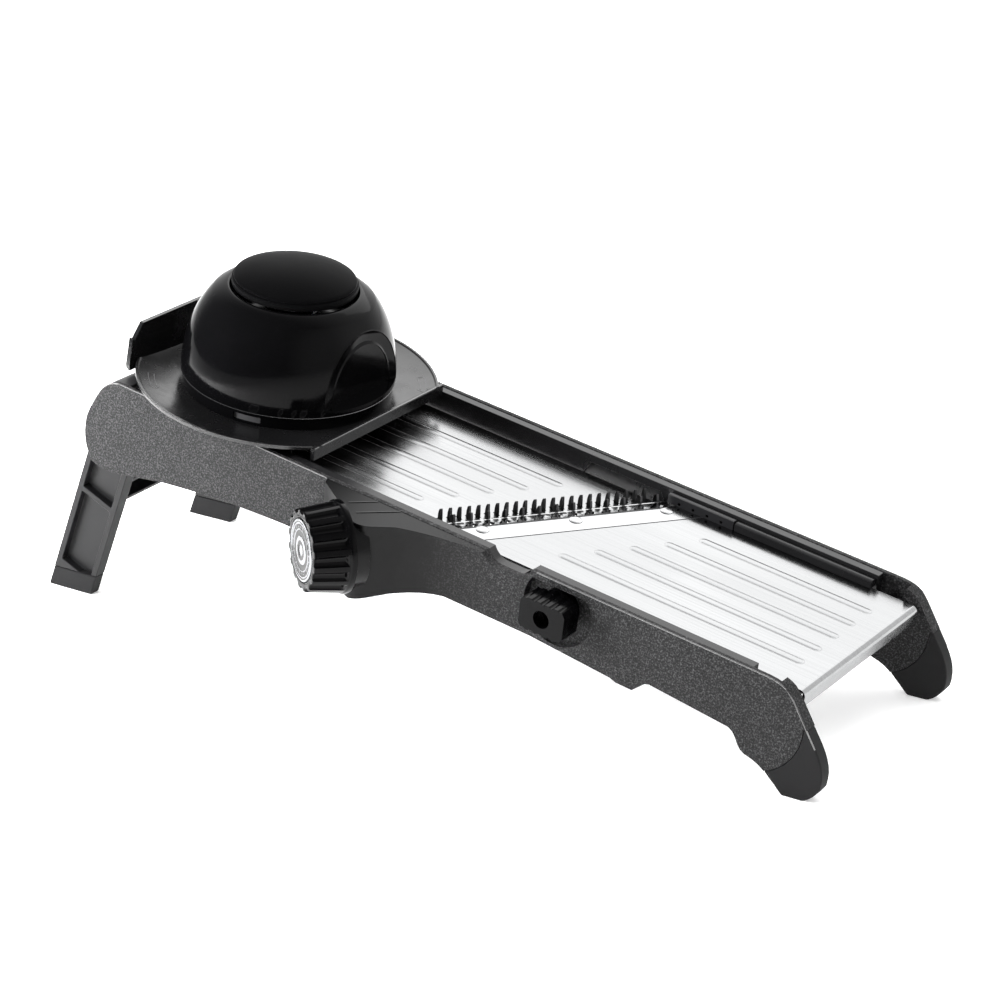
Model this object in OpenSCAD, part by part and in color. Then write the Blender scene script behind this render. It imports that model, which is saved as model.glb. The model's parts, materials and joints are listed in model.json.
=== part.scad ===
// Mandoline slicer: sloping deck on two side rails, adjustable ramp, diagonal
// blade, julienne teeth, folding rear leg and a sliding food holder.
// Millimetres, +Z up, +X towards the low discharge end, origin on the resting
// plane under the middle of the overall box.

/* [Deck] */
// Slope of the deck, degrees
deck_slope = 10.35; // [9.9:0.05:10.6]
// Height of the rail tops above the table at the front datum
deck_height = 48.3; // [48.1:0.1:48.6]
// Outer half width of the rails
rail_half = 55.25; // [55.0:0.05:55.5]
// Thickness of the outer rail skin
skin = 2.2; // [1.8:0.1:2.2]

/* [Runways] */
// Top of the lower runway below the rail tops
runway_drop = 5.5; // [5.2:0.1:5.8]
// Extra drop of the ramp at the stored setting: the slice thickness
slice = 3.0; // [2.6:0.1:3.2]
// Sheet thickness of both runways
sheet = 1.2; // [1.0:0.1:1.3]
// Half width of the runways
runway_half = 46.2; // [45.8:0.1:46.3]
// Spacing of the raised ridges
ridge_pitch = 13.8; // [13:0.1:14.2]

/* [Blade] */
// Angle of the blade from square across the deck, degrees
blade_angle = 32.5; // [32:0.1:33]
// Width of the blade strip
blade_w = 16.8; // [16:0.1:17]
// Number of fine teeth
fine_teeth = 23; // [17:1:24]
// Number of coarse teeth
coarse_teeth = 13; // [10:1:13]

/* [Dial] */
// Radius of the dial at its face
dial_face_r = 17.8; // [17:0.1:18]
// Radius of the dial at its base
dial_base_r = 19.6; // [19:0.1:19.8]
// Length of the dial
dial_len = 18.6; // [18:0.1:19]
// Number of grip flutes
dial_flutes = 16; // [12:1:18]

/* [Food holder] */
// Radius of the brim
brim_r = 68.8; // [68:0.1:69]
// Radius of the dome at its lower edge
dome_r = 48.6; // [48.4:0.1:48.8]
// Radius of the press cap
cap_r = 28.4; // [28:0.1:28.5]

/* [Rear leg] */
// Width of a leg arm
leg_w = 24.4; // [24:0.1:24.6]
// Thickness of a leg arm
leg_t = 5.8; // [5.4:0.1:5.8]

/* [Hidden] */
$fn = 64;
e = 0.01;
ox = -203.25;           // overall box centre, along
oy = -14.65;            // overall box centre, across
ri = rail_half - skin;  // inner face of the skin
ti = 48.6;              // inner face of the rail tracks
rtop = -runway_drop;    // top of the lower runway
utop = -runway_drop - slice; // top of the ramp
bx = -138.2;            // blade seam crosses the centre line here
hx = -306.6;            // centre of the food holder
pu = -361; pn = -26;    // leg pivot in the deck frame
kx = -116; kn = -12.6;  // julienne knob axis in the deck frame
sx = -214.2; sv = -72.9; sn = -16.5; // dial centre on its seat
leg_lean = 25.2;        // lean of the leg from upright

// The deck frame: x down the slope, y across, z square to the deck, 0 on the rail tops.
module deck() translate([-ox, -oy, deck_height]) rotate([0, deck_slope, 0]) children();
// A side profile drawn as (along, up), standing from y = a to y = b.
module slab(a, b) translate([0, b, 0]) rotate([90, 0, 0]) linear_extrude(b - a) children();
// The blade frame: x towards the ramp, square to the cutting edge, y along the edge.
module bladewise() translate([bx, 0, 0]) rotate([0, 0, 180 - blade_angle]) children();
// The dial frame: z out of the seat, away from the deck.
module dialwise() translate([sx, sv, sn]) rotate([0, 0, -blade_angle]) rotate([90, 0, 0]) children();

function lerp(a, b, t) = a + (b - a) * t;
function bez(a, b, c, d, n) = [for (i = [0:n]) let (t = i / n, s = 1 - t)
  s*s*s*a + 3*s*s*t*b + 3*s*t*t*c + t*t*t*d];
function arc(cx, cy, r, a0, a1, n) = [for (i = [0:n]) let (a = lerp(a0, a1, i / n))
  [cx + r * cos(a), cy + r * sin(a)]];

rail_outline = concat(
  bez([-358, 0], [-368, -1], [-371, -9], [-375, -17], 6),
  bez([-377, -22], [-378.4, -27], [-378.6, -34], [-376.5, -39], 6),
  bez([-373.5, -44.5], [-369, -46.6], [-362, -46.8], [-352, -44], 6),
  bez([-330, -39], [-300, -34], [-275, -32], [-250, -31.4], 8),
  [[-128, -30.4], [-87, -32.6], [-84, -33.6], [-76, -33.6], [-70.5, -28.2], [-68.5, -27.5]],
  [[-34, -29.7]],
  bez([-30, -30], [-25.5, -31], [-25.5, -38], [-21, -38.7], 5),
  bez([-17.5, -39.4], [-12, -40.6], [-9.5, -44], [-6, -46.2], 5),
  bez([-2, -49.3], [6, -50], [10, -46.8], [12.6, -42.5], 7),
  bez([14.2, -39.5], [15, -33], [13.6, -28.6], [9.3, -22.5], 6),
  [[-3.6, -5.6]],
  bez([-6.5, -2.6], [-10, -0.4], [-13, 0], [-19, 0], 5));

module outline() polygon(rail_outline);
// The rubber toe lies outside this circle.
module toe_zone() difference() {
  translate([-14, -52]) square([32, 36]);
  translate([-25, -18]) circle(r = 27.8, $fn = 96);
}
// Everything under the resting plane, to trim the feet flat.
module under_table() translate([-500, -200, -60]) cube([900, 400, 60]);

module thumb_scoop(a, b) slab(a, b) hull() {
  translate([-146.5, 3]) circle(r = 8, $fn = 32);
  translate([-138, 3]) circle(r = 8, $fn = 32);
}

module side_panel() {
  difference() {
    union() {
      slab(-rail_half, -ri) difference() { outline(); toe_zone(); }
      // solid front leg
      slab(-ri - e, -48.9) intersection() {
        difference() { outline(); toe_zone(); }
        polygon([[-24, -60], [20, -60], [20, 5], [-10, 5], [-12.5, -8], [-24, -12]]);
      }
      // inward foot along the lower edge
      slab(-ri - e, -49.4) intersection() {
        difference() { outline(); translate([0, 2]) outline(); }
        translate([-244, -40]) square([218, 16]);
      }
    }
    // worn-in thumb notch above the runway
    children();
  }
}
module near_side_panel() color([0.16, 0.16, 0.17]) deck() difference() {
  union() {
    side_panel() { thumb_scoop(-60, -50); }
    // boss behind the julienne knob
    intersection() {
      translate([kx, -49.6, kn]) rotate([90, 0, 0]) cylinder(r = 18.2, h = 5, $fn = 96);
      translate([-150, -60, -40]) cube([80, 20, 38.2]);
    }
  }
  // knob recess
  intersection() {
    translate([kx, -51.2, kn]) rotate([90, 0, 0]) cylinder(r = 16.8, h = 12, $fn = 96);
    translate([-150, -70, -40]) cube([80, 30, 37]);
  }
  // knob shaft hole
  translate([kx, -40, kn]) rotate([90, 0, 0]) cylinder(r = 3.08, h = 20, $fn = 48);
  // dial shaft passage
  dialwise() translate([0, 0, -40]) cylinder(r = 6.5, h = 40, $fn = 48);
  // pivot pin holes
  translate([pu, -54.4 + 6.4, pn]) rotate([90, 0, 0]) cylinder(r = 4, h = 6.4, $fn = 48);
}
module far_side_panel() color([0.16, 0.16, 0.17]) deck() difference() {
  mirror([0, 1, 0]) side_panel() { translate([0, 0, 90]) cube(1); }
  translate([pu, 54.4, pn]) rotate([90, 0, 0]) cylinder(r = 4, h = 6.4, $fn = 48);
}

module near_rail_track() color([0.23, 0.23, 0.24]) deck() difference() {
  translate([-352, -ri, -12]) cube([327.5, ri - ti, 11.7]);
  // runs into the rounded front of the rail
  translate([-26, -60, -13]) cube([10, 20, 2.6]);
  thumb_scoop(-60, -40);
  // room behind the knob recess
  translate([kx - 19, -60, -40]) cube([38, 60 - 49.3, 38.25]);
  translate([-360, -60, -8]) cube([20, 20, 20]);
  translate([kx, -40, kn]) rotate([90, 0, 0]) cylinder(r = 3.4, h = 20, $fn = 48);
}
module far_rail_track() color([0.23, 0.23, 0.24]) deck() difference() {
  translate([-352, ti, -12]) cube([327.5, ri - ti, 11.7]);
  translate([-26, 40, -13]) cube([10, 20, 2.6]);
  translate([-360, 40, -8]) cube([20, 20, 20]);
  // opening beside the teeth
  slab(40, 51) polygon([[-172, -4], [-134, -4], [-130, -13], [-176, -13]]);
}
module far_rail_ledge() color([0.2, 0.2, 0.21]) deck() difference() {
  intersection() {
    translate([-93.5, 46.6, -5.2]) rotate([0, 90, 0]) cylinder(r = 3.6, h = 68, $fn = 64);
    translate([-100, 44.6, rtop]) cube([90, ti - 44.6, 4.2]);
  }
  translate([-27, 40, -9]) rotate([0, 40, 0]) cube([10, 20, 10]);
}
module far_rail_insert() color([0.12, 0.12, 0.13]) deck() difference() {
  intersection() {
    translate([-128, 46.3, -5.2]) rotate([0, 90, 0]) cylinder(r = 4.0, h = 33.8, $fn = 64);
    translate([-130, 44.9, rtop]) cube([50, ti - 44.9, 4.3]);
  }
  for (i = [0:3]) translate([-122 + 7.2 * i, 40, -4.1]) rotate([-90, 0, 0]) cylinder(r = 0.7, h = 6, $fn = 16);
}

module shroud_plan() polygon(concat(
  [[-238.5, -rail_half - e], [-237.2, -58.6]],
  bez([-211, -75.3], [-206.5, -78.3], [-202.5, -77.6], [-199.3, -74.8], 6),
  bez([-192, -68], [-178, -60.8], [-160, -58.6], [-146, -56.8], 10),
  [[-134, -rail_half - e]]));
module dial_shroud() color([0.07, 0.07, 0.075]) deck() difference() {
  union() {
    intersection() {
      translate([0, 0, -37]) linear_extrude(36.8) shroud_plan();
      slab(-90, -50) polygon(concat([[-240, -0.2], [-240, -34], [-222, -36.6]],
        bez([-206, -36.8], [-190, -33], [-180, -26], [-160, -27], 8),
        [[-132, -29.6], [-132, -0.2]]));
    }
    // collar round the dial seat
    intersection() {
      dialwise() translate([0, 0, -6]) cylinder(r = 17.6, h = 6, $fn = 96);
      translate([-260, -90, -60]) cube([100, 90 - rail_half - e, 60 - 0.2]);
    }
  }
  dialwise() {
    cylinder(r = 60, h = 40);
    translate([0, 0, -60]) cylinder(r = 4.08, h = 62, $fn = 48);
  }
  thumb_scoop(-90, -50);
}

module front_foot() intersection() {
  slab(-rail_half, -48.9) intersection() { outline(); toe_zone(); }
  translate([-30, -60, -80]) cube([60, 30, 80]);
}
module near_front_foot() color([0.1, 0.1, 0.1]) difference() { deck() front_foot(); under_table(); }
module far_front_foot() color([0.1, 0.1, 0.1]) difference() { deck() mirror([0, 1, 0]) front_foot(); under_table(); }

module front_crossbar() color([0.12, 0.12, 0.12]) deck() {
  difference() {
    translate([-22, -48.85, -13]) cube([13, 97.7, 6.2]);
    translate([-20, -46.5, -14]) cube([9, 93, 4.6]);
  }
}
module rear_crossbar() color([0.12, 0.12, 0.13]) deck() intersection() {
  slab(-ri, ri) outline();
  translate([-380, -60, -12.6]) cube([25.6, 120, 12]);
}
module ridge(x0, x1, y, top) translate([0, y, top - 2.75]) {
  translate([x0, 0, 0]) rotate([0, 90, 0]) cylinder(r = 3.2, h = x1 - x0, $fn = 64);
  translate([x0, 0, 0]) sphere(r = 3.2, $fn = 48);
  translate([x1, 0, 0]) sphere(r = 3.2, $fn = 48);
}
module lower_runway() color([0.86, 0.87, 0.88]) deck() {
  difference() {
    union() {
      translate([-190, -runway_half, rtop - sheet]) cube([184, 2 * runway_half, sheet]);
      // rolled front lip
      translate([-6, -runway_half, rtop - 2.6]) rotate([-90, 0, 0]) cylinder(r = 2.6, h = 2 * runway_half, $fn = 48);
      translate([-4.6, -runway_half, rtop - 7]) cube([1.2, 2 * runway_half, 4.6]);
    }
    bladewise() translate([-0.2, -90, -20]) cube([90, 180, 30]);
    // inside of the roll
    translate([-6, -60, rtop - 2.6]) rotate([-90, 0, 0]) cylinder(r = 1.4, h = 120, $fn = 48);
    translate([-12, -60, rtop - 9]) cube([7.4, 120, 9 - sheet - 0.001]);
  }
  intersection() {
    for (i = [-2:2]) ridge(bx + 23 + i * ridge_pitch * tan(blade_angle), -17.5, i * ridge_pitch, rtop + 0.45);
    translate([-200, -60, rtop - sheet / 2]) cube([200, 120, 5]);
  }
}
module blade() color([0.9, 0.91, 0.92]) deck() difference() {
  intersection() {
    bladewise() translate([0, -80, rtop - 1]) cube([blade_w, 160, 1]);
    translate([-220, -runway_half, -20]) cube([200, 2 * runway_half, 30]);
  }
  // ground bevel under the cutting edge
  bladewise() translate([blade_w, -90, rtop - 0.15]) rotate([0, 14, 0]) translate([-6, 0, -4]) cube([12, 180, 4]);
  for (i = [-1:1]) bladewise() translate([8.6, 3.1 + i * 43.1, rtop - 3]) cylinder(r = 2.4, h = 6, $fn = 48);
}
module blade_rivets() color([0.8, 0.81, 0.82]) deck() for (i = [-1:1]) bladewise() translate([8.6, 3.1 + i * 43.1, 0]) {
  translate([0, 0, rtop - 4]) cylinder(r = 2.4, h = 4.1, $fn = 48);
  translate([0, 0, rtop]) rotate_extrude($fn = 48) polygon([[0, 0], [3.0, 0], [2.9, 0.25], [2.2, 0.42], [0, 0.5]]);
}
module blade_carrier() color([0.1, 0.1, 0.11]) deck() difference() {
  intersection() {
    // raked front, so that slices fall away below the blade
    bladewise() slab(-80, 80) polygon([[-10, rtop - 1.2], [14, rtop - 1.2], [14, rtop - 1.8], [6, rtop - 5.6], [-10, rtop - 5.6]]);
    translate([-220, -48.55, -20]) cube([200, 97.1, 30]);
  }
  // the blade sits on the carrier, a little higher than the runway sheet
  for (i = [-1:1]) bladewise() translate([8.6, 3.1 + i * 43.1, rtop - 4]) cylinder(r = 2.4, h = 6, $fn = 48);
}
module leg_pins() color([0.62, 0.63, 0.65]) deck() for (s = [-1, 1]) translate([pu, s * 50.82, pn])
  rotate([90, 0, 0]) cylinder(r = 4, h = 7.14, center = true, $fn = 48);

ramp_edge = blade_w + 5.5; // root of the ramp's tongues, square to the blade seam
fine_pitch = 4.35;
coarse_pitch = 7.95;
fine_mid = 11.3; // middle of the fine row along the seam, towards the dial
coarse_mid = 7.6; // middle of the coarse row
function fine_q(i) = fine_mid + (i - (fine_teeth - 1) / 2) * fine_pitch;
function coarse_q(i) = coarse_mid + (i - (coarse_teeth - 1) / 2) * coarse_pitch;
module upper_runway() color([0.86, 0.87, 0.88]) deck() {
  difference() {
    translate([-351, -runway_half, utop - sheet]) cube([270, 2 * runway_half, sheet]);
    bladewise() difference() {
      translate([ramp_edge - 120, -150, -30]) cube([120, 300, 60]);
      // rounded tongues between the coarse teeth
      for (i = [0:coarse_teeth]) translate([ramp_edge - 1.1, coarse_q(i - 0.5), -40]) cylinder(r = 3.0, h = 80, $fn = 48);
    }
    // slots for the fine teeth
    for (i = [0:fine_teeth - 1]) bladewise() translate([blade_w + 6.6, fine_q(i) - 0.95, -30]) cube([3.6, 1.9, 60]);
  }
  intersection() {
    for (i = [-2:2]) ridge(-342, bx - 53.5 + i * ridge_pitch * tan(blade_angle), i * ridge_pitch, utop + 0.45);
    translate([-360, -60, utop - sheet / 2]) cube([300, 120, 5]);
  }
}
module ramp_carrier() color([0.1, 0.1, 0.11]) deck() difference() {
  translate([-350, -43.5, utop - sheet - 2.8]) cube([270, 87, 2.8]);
  bladewise() translate([blade_w + 12 - 120, -150, -30]) cube([120, 300, 60]);
  // open frame with cross ribs
  for (i = [0:2]) for (s = [0, 1]) translate([-344 + i * 42, s ? 2 : -38.5, -30]) cube([38, 36.5, 40]);
}

module dial_knob() color([0.06, 0.06, 0.065]) deck() dialwise() difference() {
  union() {
    translate([0, 0, 0.4]) cylinder(r = 20.2, h = 2.6, $fn = 96);
    translate([0, 0, 2.9]) cylinder(r1 = dial_base_r, r2 = dial_face_r, h = dial_len - 2.9, $fn = 96);
  }
  for (i = [0:dial_flutes - 1]) rotate([0, 0, i * 360 / dial_flutes]) translate([dial_base_r + 0.9, 0, 4]) rotate([0, -5.5, 0]) cylinder(r = 2.3, h = 30, $fn = 32);
  translate([0, 0, dial_len - 1.4]) cylinder(r = 13.6, h = 5, $fn = 96);
  translate([0, 0, -1]) cylinder(r = 4, h = 12, $fn = 48);
}
module dial_badge() color([0.75, 0.76, 0.78]) deck() dialwise() difference() {
  translate([0, 0, dial_len - 1.4]) cylinder(r = 13.5, h = 1.7, $fn = 96);
  translate([0, 0, dial_len - 0.1]) difference() {
    cylinder(r = 11.6, h = 2, $fn = 96);
    translate([0, 0, -1]) cylinder(r = 10.6, h = 4, $fn = 96);
  }
}
module dial_shaft() color([0.6, 0.6, 0.62]) deck() dialwise() translate([0, 0, -28.7]) cylinder(r = 4, h = 28.7 + 11, $fn = 48);

module julienne_knob() color([0.06, 0.06, 0.065]) deck() translate([kx, 0, kn]) rotate([90, 0, 0]) difference() {
  union() {
    translate([0, 0, 51.6]) cylinder(r = 8.6, h = 4.6, $fn = 64);
    translate([0, 0, 56]) linear_extrude(11) intersection() {
      square([22, 15], center = true);
      circle(r = 12, $fn = 64);
    }
  }
  for (i = [-2:2]) translate([i * 4.3, 8.4, 55]) cylinder(r = 1.5, h = 20, $fn = 32);
  for (i = [-2:2]) translate([i * 4.3, -8.4, 55]) cylinder(r = 1.5, h = 20, $fn = 32);
  translate([0, 0, 62.5]) cylinder(r = 3.9, h = 8, $fn = 48);
  translate([0, 0, 58]) cylinder(r = 2.6, h = 8, $fn = 6);
  translate([0, 0, 50]) cylinder(r = 3, h = 5, $fn = 48);
}
module julienne_shaft() color([0.6, 0.6, 0.62]) deck() translate([kx, -47.7, kn]) rotate([90, 0, 0]) cylinder(r = 3, h = 7.3, $fn = 48);

// An upright blade standing square to the cutting edge, its raked nose towards the ramp.
module fin(l, t, h) rotate([90, 0, 0]) translate([0, 0, -t / 2]) linear_extrude(t)
  polygon([[0, 0], [l, 0], [l, h * 0.76], [l * 0.8, h * 0.9], [l * 0.55, h * 0.985], [l * 0.4, h], [l * 0.28, h * 0.985], [0, h * 0.7]]);
fin_h = 17 - 2.9;
// Everything between the rail tracks.
module between() intersection() {
  bladewise() children();
  translate([-260, -48.2, -60]) cube([240, 96.4, 80]);
}
module fine_teeth_comb() color([0.85, 0.86, 0.87]) deck() between() {
  translate([blade_w + 6.9, -46, -17]) cube([2.9, 107.5, 1]);
  for (i = [0:fine_teeth - 1]) translate([blade_w + 6.9, fine_q(i), -16.5]) fin(2.9, 1.1, fin_h - 0.5);
}
module coarse_teeth_comb() color([0.85, 0.86, 0.87]) deck() between() {
  translate([blade_w + 1.0, -46, -17]) cube([4.2, 107.5, 1]);
  for (i = [0:coarse_teeth - 1]) translate([blade_w + 1.0, coarse_q(i), -16.5]) fin(4.2, 1.0, fin_h - 0.8);
}
module comb_carrier() color([0.1, 0.1, 0.11]) deck() between() translate([blade_w + 0.7, -46.5, -21.4]) cube([9.4, 108.5, 4.4]);

// The leg frame: pivot at the origin, leg hanging along -z, leaning back.
module legwise() deck() translate([pu, 0, pn]) rotate([0, -deck_slope + leg_lean, 0]) children();
module leg_cut() difference() { children(); under_table(); }
module rear_leg() color([0.13, 0.13, 0.14]) difference() {
  leg_cut() legwise() {
    for (s = [-1, 1]) difference() {
      translate([0, s < 0 ? -47.1 - leg_t : 47.1, 0]) difference() {
        slab(0, leg_t) union() {
          circle(r = leg_w / 2, $fn = 64);
          translate([-leg_w / 2, -118]) square([leg_w, 118]);
        }
        // recessed panels on the outer face
        translate([0, s < 0 ? -e : leg_t - 3.4, 0]) {
          translate([-leg_w / 2 + 3.2, 0, -39]) cube([leg_w - 6.4, 3.4 + e, 24]);
          translate([-leg_w / 2 + 3.2, 0, -84]) cube([leg_w - 6.4, 3.4 + e, 42]);
        }
      }
      translate([0, s * 50, 0]) rotate([90, 0, 0]) cylinder(r = 4.07, h = 12, center = true, $fn = 48);
    }
    // cross bar
    difference() {
      translate([-3, -47.2, -41.7]) cube([9.9, 94.4, 13]);
      translate([-1, -45, -39.7]) cube([12, 90, 9]);
    }
  }
  leg_pad_zone();
}
module leg_pad_zone() translate([-500, -200, -1]) cube([900, 400, 11.5]);
module leg_foot_pads() color([0.08, 0.08, 0.085]) intersection() {
  leg_cut() legwise() for (s = [-1, 1]) translate([0, s < 0 ? -47.1 - leg_t : 47.1, 0])
    slab(0, leg_t) translate([-leg_w / 2, -118]) square([leg_w, 118]);
  leg_pad_zone();
}

module holder() deck() translate([hx, 0, 0]) children();
module holder_base() color([0.09, 0.09, 0.095]) holder() {
  difference() {
    rotate_extrude($fn = 128) polygon([[46.9, 0.4], [56, 0.4], [68.2, 3.0], [brim_r, 3.5], [brim_r, 4.6],
      [68.4, 5.0], [67.6, 5.0], [67.0, 4.4], [56.2, 2.1], [46.9, 2.1]]);
    // straight front and rear
    translate([53.4, -80, -5]) cube([40, 160, 20]);
    translate([-57.6 - 40, -80, -5]) cube([40, 160, 20]);
  }
  // front wall
  slab(-46.6, 46.6) polygon([[51.4, -0.7], [53.4, -0.7], [53.4, 4.3], [52.9, 4.8], [51.9, 4.8], [51.4, 4.3]]);
  // rear fence, leaning back
  difference() {
    slab(-42.6, 42.6) polygon([[-58.2, 0.4], [-57.4, 0.4], [-57.4, 1.5], [-60.1, 20], [-62.1, 20], [-59.6, 1.5]]);
    for (s = [-1, 1]) translate([-70, s * 42.6, 3]) rotate([s * 16, 0, 0]) translate([0, s > 0 ? 0 : -20, -10]) cube([20, 20, 40]);
    for (s = [-1, 1]) translate([-70, s * 36.6, 15]) rotate([s * 45, 0, 0]) translate([0, s > 0 ? 0 : -20, -2]) cube([20, 20, 30]);
  }
}
module holder_collar() color([0.05, 0.05, 0.055]) holder() difference() {
  rotate_extrude($fn = 128) polygon([[44.2, -0.7], [46.9, -0.7], [46.9, 2.1], [47.7, 2.1], [47.7, 7.1], [46.2, 7.1], [46.2, 9.0], [44.2, 9.0]]);
  // small window at the near front
  rotate([0, 0, -73]) translate([40, -6.5, 3.0]) cube([20, 13, 3.2]);
}
module holder_glides() color([0.08, 0.08, 0.085]) holder() for (s = [-1, 1]) {
  translate([-42, s > 0 ? 47.5 : -48.3, -0.9]) cube([84, 0.8, 1.3]);
  for (x = [-44, 32]) translate([x, s > 0 ? 49.4 : -53.4, 0.1]) cube([12, 4, 0.3]);
}

dome_out = concat([[dome_r, 7.5], [dome_r, 12.5]],
  bez([48.3, 16], [47.1, 27], [43.2, 38.4], [36.3, 46], 12),
  [[34.1, 47.6], [31.8, 48.9], [30.2, 49.5], [29.4, 49.6], [28.9, 49.2]]);
dome_in = concat([[28.9, 39], [30.9, 39], [30.9, 45.4]],
  bez([33.1, 44.5], [40.3, 38.3], [44.5, 27], [46.0, 15], 12),
  [[46.3, 13], [46.3, 7.5]]);
// Half space beyond a nearly upright flat, on both sides of the dome.
module flats(back) for (s = [0, 1]) rotate([0, 0, s * 180])
  translate([41.5 - back, 0, 10]) rotate([0, -2.6, 0]) translate([0, -60, -30]) cube([60, 120, 80]);
module dome_body() rotate_extrude($fn = 128) polygon(concat([[0, 9.3]], [[dome_r, 9.3]],
  [for (i = [1:len(dome_out) - 2]) dome_out[i]], [[0, 49.2]]));
module holder_dome() color([0.03, 0.03, 0.034]) holder() {
  difference() {
    union() {
      rotate_extrude($fn = 128) polygon(concat(dome_out, dome_in));
      // inner wall and floor of each grip recess
      intersection() {
        flats(2.2);
        dome_body();
      }
    }
    intersection() {
      flats(0);
      translate([-70, -70, 10.7]) cube([140, 140, 60]);
    }
    // well of the press
    translate([0, 0, 39]) cylinder(r = 28.9, h = 20, $fn = 128);
  }
  // well floor that guides the stem
  translate([0, 0, 37]) difference() {
    cylinder(r = 30.9, h = 2, $fn = 96);
    translate([0, 0, -1]) cylinder(r = 5.08, h = 4, $fn = 48);
  }
  translate([0, 0, 29.5]) difference() {
    cylinder(r = 7.6, h = 8, $fn = 64);
    translate([0, 0, -1]) cylinder(r = 5.08, h = 10, $fn = 48);
  }
}
module press_cap() color([0.12, 0.12, 0.13]) holder() difference() {
  rotate_extrude($fn = 128) polygon(concat([[0, 52.4], [24.4, 52.4], [24.4, 49.9], [26, 49.9], [cap_r, 50.3], [cap_r, 53.0], [cap_r - 0.5, 53.5], [cap_r - 0.5, 53.9], [cap_r - 0.8, 54.3]],
    bez([24.4, 56.0], [17.6, 58.9], [9, 60.5], [0, 60.6], 10)));
  translate([0, 0, 50]) cylinder(r = 5, h = 4, $fn = 48);
}
module press_stem() color([0.14, 0.14, 0.15]) holder() translate([0, 0, 22]) cylinder(r = 5, h = 32, $fn = 48);
module prong_plate() color([0.14, 0.14, 0.15]) holder() difference() {
  union() {
    translate([0, 0, 22]) cylinder(r = 36, h = 2, $fn = 96);
    translate([0, 0, 20]) difference() { cylinder(r = 36, h = 2.5, $fn = 96); translate([0, 0, -1]) cylinder(r = 34, h = 4, $fn = 96); }
  }
  translate([0, 0, 18]) cylinder(r = 5, h = 8, $fn = 48);
  for (a = [0:60:300]) rotate([0, 0, a]) translate([14, 0, 15]) cylinder(r = 1, h = 12, $fn = 24);
  for (a = [0:30:330]) rotate([0, 0, a + 15]) translate([28, 0, 15]) cylinder(r = 1, h = 12, $fn = 24);
}
module prong() { translate([0, 0, 15]) cylinder(r = 1, h = 9, $fn = 24); translate([0, 0, 13]) cylinder(r1 = 0.3, r2 = 1, h = 2.01, $fn = 24); }
module prongs() color([0.82, 0.83, 0.84]) holder() {
  for (a = [0:60:300]) rotate([0, 0, a]) translate([14, 0, 0]) prong();
  for (a = [0:30:330]) rotate([0, 0, a + 15]) translate([28, 0, 0]) prong();
}
// Coil with square-cut ends.
module coil(r, w, pitch, turns, sides, step) {
  n = turns * 360 / step;
  polyhedron(points = [for (i = [0:n]) for (j = [0:sides - 1]) let (a = i * step, b = j * 360 / sides)
      [(r + w * cos(b)) * cos(a), (r + w * cos(b)) * sin(a), pitch * a / 360 + w * sin(b)]],
    faces = concat([[for (j = [0:sides - 1]) j]], [[for (j = [sides - 1:-1:0]) n * sides + j]],
      [for (i = [0:n - 1]) for (j = [0:sides - 1]) [i * sides + j, (i + 1) * sides + j, (i + 1) * sides + (j + 1) % sides, i * sides + (j + 1) % sides]]));
}
module press_spring() color([0.7, 0.71, 0.72]) holder() translate([0, 0, 39.7]) coil(11, 0.6, 2.8, 4.25, 8, 18);

near_side_panel();
far_side_panel();
near_rail_track();
far_rail_track();
far_rail_ledge();
far_rail_insert();
dial_shroud();
near_front_foot();
far_front_foot();
front_crossbar();
rear_crossbar();
lower_runway();
blade();
blade_rivets();
blade_carrier();
leg_pins();
upper_runway();
ramp_carrier();
dial_knob();
dial_badge();
dial_shaft();
julienne_knob();
julienne_shaft();
fine_teeth_comb();
coarse_teeth_comb();
comb_carrier();
rear_leg();
leg_foot_pads();
holder_base();
holder_collar();
holder_glides();
holder_dome();
press_cap();
press_stem();
prong_plate();
prongs();
press_spring();
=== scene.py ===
import json
import math
import bpy
import bmesh
from mathutils import Matrix, Vector, noise


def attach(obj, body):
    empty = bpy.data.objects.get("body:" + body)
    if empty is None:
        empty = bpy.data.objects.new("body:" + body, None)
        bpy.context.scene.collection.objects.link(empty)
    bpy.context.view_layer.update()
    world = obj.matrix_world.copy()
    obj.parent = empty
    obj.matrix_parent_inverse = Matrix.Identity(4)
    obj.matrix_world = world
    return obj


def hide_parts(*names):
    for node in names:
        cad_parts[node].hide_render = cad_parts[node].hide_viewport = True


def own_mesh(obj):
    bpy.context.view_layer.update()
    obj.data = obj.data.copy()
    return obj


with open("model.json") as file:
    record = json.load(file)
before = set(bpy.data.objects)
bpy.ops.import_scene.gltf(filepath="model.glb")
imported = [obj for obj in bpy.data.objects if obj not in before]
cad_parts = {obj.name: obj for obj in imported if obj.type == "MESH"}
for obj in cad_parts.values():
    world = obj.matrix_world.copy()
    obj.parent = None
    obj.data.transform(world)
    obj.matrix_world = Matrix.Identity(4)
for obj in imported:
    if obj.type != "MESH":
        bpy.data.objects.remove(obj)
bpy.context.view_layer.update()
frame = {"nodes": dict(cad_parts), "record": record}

scene = bpy.context.scene
rad = math.radians

# ---------------------------------------------------------------- deck frame
OX, OY, H0, SLOPE = -203.25, -14.65, 48.3, 10.35
DECK = (Matrix.Scale(0.001, 4) @ Matrix.Translation((-OX, -OY, H0))
        @ Matrix.Rotation(rad(SLOPE), 4, "Y"))
HX = -306.6
BLADE = 32.5
RTOP, UTOP = -5.5, -8.5
DIAL = (DECK @ Matrix.Translation((-214.2, -72.9, -16.5))
        @ Matrix.Rotation(rad(-BLADE), 4, "Z") @ Matrix.Rotation(rad(90), 4, "X"))
HOLD = DECK @ Matrix.Translation((HX, 0, 0))
BLADEF = DECK @ Matrix.Translation((-138.2, 0, 0)) @ Matrix.Rotation(rad(180 - BLADE), 4, "Z")


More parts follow.
